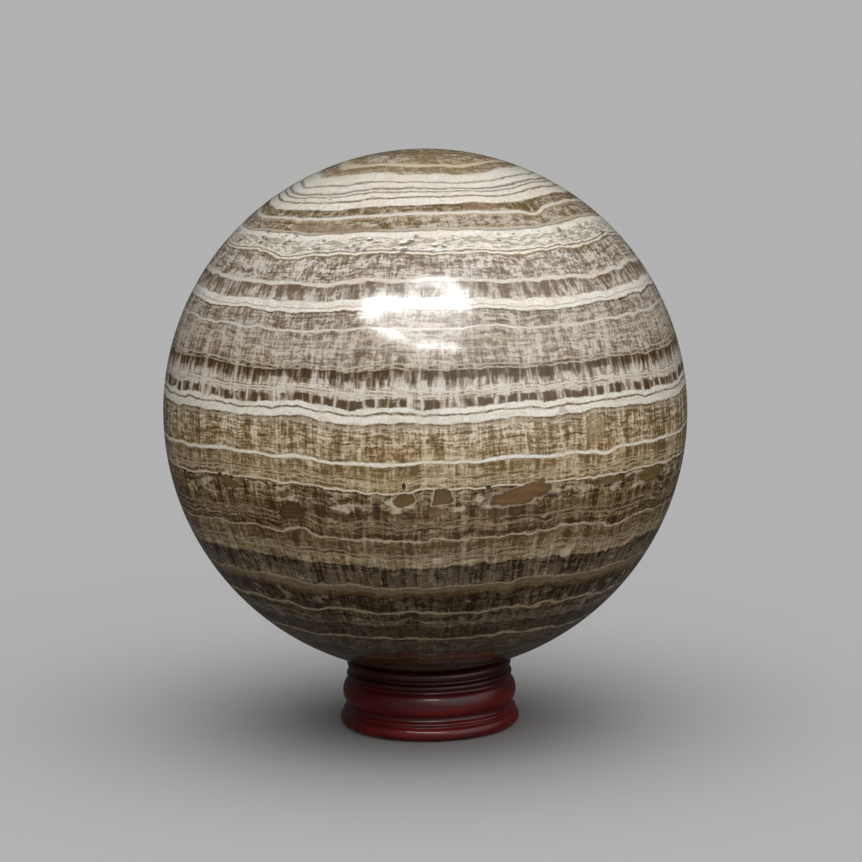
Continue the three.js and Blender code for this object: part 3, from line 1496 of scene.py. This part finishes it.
@dataclass(frozen=True)
class Softbox:
    """A soft light that the ball mirrors at a spot. Sides in metres, turn in degrees, power in watts."""

    name: str
    spot: Spot
    width: float
    height: float
    power: float
    distance: float = 1.0
    turn: float = 0.0
    mirrored: bool = True
    lighting: bool = False

    def build(self, eye: Vector, ball: StoneBall, lit: bpy.types.Collection) -> bpy.types.Object:
        """Hangs the light where the camera sees it in the ball.

        Args:
            eye: Where the camera stands.
            ball: The ball that mirrors the light.
            lit: What the light falls on.

        Returns:
            The light.
        """
        data = bpy.data.lights.new(self.name, "AREA")
        data.shape = "ELLIPSE"
        data.size, data.size_y = self.width, self.height
        data.energy = self.power
        light = bpy.data.objects.new(self.name, data)
        point = ball.middle + self.spot.on_ball(ball.radius / MM) * MM
        outward = (point - ball.middle).normalized()
        to_eye = (eye - point).normalized()
        ray = 2 * outward.dot(to_eye) * outward - to_eye
        aim = ray.to_track_quat("Z", "Y").to_matrix()
        spin = Matrix.Rotation(math.radians(self.turn), 3, "Z")
        light.matrix_world = Matrix.Translation(point + ray * self.distance) @ (aim @ spin).to_4x4()
        light.visible_glossy = self.mirrored
        light.visible_diffuse = self.lighting
        light.light_linking.receiver_collection = lit
        bpy.context.scene.collection.objects.link(light)
        return light


@dataclass(frozen=True)
class Glow:
    """A bright part of the sky: where it is and how far it spreads, in degrees, and how strong it is."""

    azimuth: float
    rise: float
    spread: float
    strength: float
    least: float = 0.0

    @property
    def towards(self) -> Vector:
        """Points towards its middle.

        Returns:
            The direction.
        """
        level = math.cos(math.radians(self.rise))
        turn = math.radians(self.azimuth)
        return Vector((level * math.sin(turn), -level * math.cos(turn), math.sin(math.radians(self.rise))))


@dataclass
class Studio:
    """A plain pale floor, a soft sky and the softboxes. Sizes in metres."""

    ball: StoneBall
    eye: Vector
    pieces: tuple[bpy.types.Object, ...]
    floor_radius: float = 60.0
    floor_sides: int = 96
    floor_tone: tuple[float, float, float] = (0.78, 0.78, 0.77)
    floor_roughness: float = 0.85
    floor_wash: float = 1.15
    wash_spread: float = 75.0
    sky_tone: tuple[float, float, float] = (0.97, 0.98, 1.0)
    glows: tuple[Glow, ...] = (Glow(0, 90, 90, 0.10, least=0.06), Glow(14, 12, 90, 0.42))
    mirrored_sky: float = 0.7
    mirrored_glow: Glow = Glow(47, 43, 58, 1.2)
    backdrop: float = 0.45
    softboxes: tuple[Softbox, ...] = (
        Softbox("key", Spot(-1, 37.5), 0.70, 0.36, 8.2, mirrored=False, lighting=True),
        Softbox("window_top", Spot(2.8, 43.7), 0.29, 0.09, 1.0),
        Softbox("window_right", Spot(7.5, 40.5), 0.21, 0.19, 1.4),
        Softbox("window_left", Spot(-3, 41.5), 0.09, 0.14, 0.3),
        Softbox("window_ledge", Spot(-1.5, 38.3), 0.86, 0.10, 3.3),
        Softbox("window_end", Spot(-9, 38.7), 0.30, 0.14, 1.5),
        Softbox("window_corner", Spot(-12.3, 35.5), 0.20, 0.11, 0.8),
        Softbox("window_pane", Spot(-1, 33.4), 0.80, 0.26, 2.4),
        Softbox("window_sill", Spot(-7, 30.6), 0.29, 0.055, 0.65, turn=-15.0),
        Softbox("window_foot", Spot(2.5, 27.8), 0.40, 0.062, 1.2, turn=-6.0),
        Softbox("side_glow", Spot(33, 33.0), 1.0, 0.7, 1.1, mirrored=False, lighting=True),
        Softbox("side_fill", Spot(36, 8.0), 1.0, 0.7, 0.9, mirrored=False, lighting=True),
    )

    def build(self) -> None:
        """Makes the floor, the sky and the lights."""
        self._floor()
        self._sky()
        lit = bpy.data.collections.new("ornament")
        for piece in self.pieces:
            lit.objects.link(piece)
        for softbox in self.softboxes:
            softbox.build(self.eye, self.ball, lit)

    def _floor(self) -> None:
        """Lays the floor under the stand, with a soft light from overhead that falls on it alone."""
        mesh = bmesh.new()
        bmesh.ops.create_circle(mesh, cap_ends=True, radius=self.floor_radius, segments=self.floor_sides)
        board = Finish("studio_floor")
        board.shader.inputs["Base Color"].default_value = (*self.floor_tone, 1.0)
        board.shader.inputs["Roughness"].default_value = self.floor_roughness
        floor = add_piece("studio_floor", mesh, board.material)
        floor.visible_glossy = False
        data = bpy.data.lights.new("floor_wash", "SUN")
        data.energy = self.floor_wash
        data.angle = math.radians(self.wash_spread)
        wash = bpy.data.objects.new("floor_wash", data)
        lit = bpy.data.collections.new("floor_alone")
        lit.objects.link(floor)
        wash.light_linking.receiver_collection = lit
        bpy.context.scene.collection.objects.link(wash)

    def _sky(self) -> None:
        """Sets the soft light from all round, with what a mirror and the camera see of it."""
        world = bpy.data.worlds.new("studio_sky")
        board = Board(world)
        background = board.nodes["Background"]
        background.inputs["Color"].default_value = (*self.sky_tone, 1.0)
        direction = board.nodes.new("ShaderNodeTexCoord").outputs["Generated"]
        lighting = 0.0
        for glow in self.glows:
            lighting = board.math("ADD", lighting, self._glowing(board, direction, glow))
        mirrored = self._glowing(board, direction, self.mirrored_glow)
        mirrored = board.math("MULTIPLY_ADD", lighting, self.mirrored_sky, mirrored)
        ray = board.nodes.new("ShaderNodeLightPath").outputs
        strength = board.span(ray["Is Glossy Ray"], 0.0, 1.0, lighting, mirrored)
        strength = board.span(ray["Is Camera Ray"], 0.0, 1.0, strength, self.backdrop)
        board.feed(background.inputs["Strength"], strength)
        bpy.context.scene.world = world

    def _glowing(self, board: Board, direction: Socket, glow: Glow) -> Socket:
        """Works out how strong a glow is in a direction of the sky.

        Args:
            board: The world's board.
            direction: The direction.
            glow: The glow.

        Returns:
            Its strength.
        """
        facing = board.dot(direction, glow.towards)
        edge = math.cos(math.radians(glow.spread))
        return board.span(facing, edge, 1.0, glow.least, glow.strength)


def report(piece: bpy.types.Object) -> None:
    """Logs a finished piece's name and number of faces."""
    log.info("%s: %d faces", piece.name, len(piece.data.polygons))


def main() -> None:
    """Builds the ornament and the studio round it."""
    logging.basicConfig(level=logging.INFO, format="%(message)s")
    bpy.context.scene.view_settings.view_transform = "Standard"
    ball = StoneBall()
    pieces = (ball.build(), RingStand().build())
    for piece in pieces:
        report(piece)
    camera = PhotoCamera(ball.middle)
    camera.build()
    Studio(ball, camera.place, pieces).build()


if __name__ == "__main__":
    main()
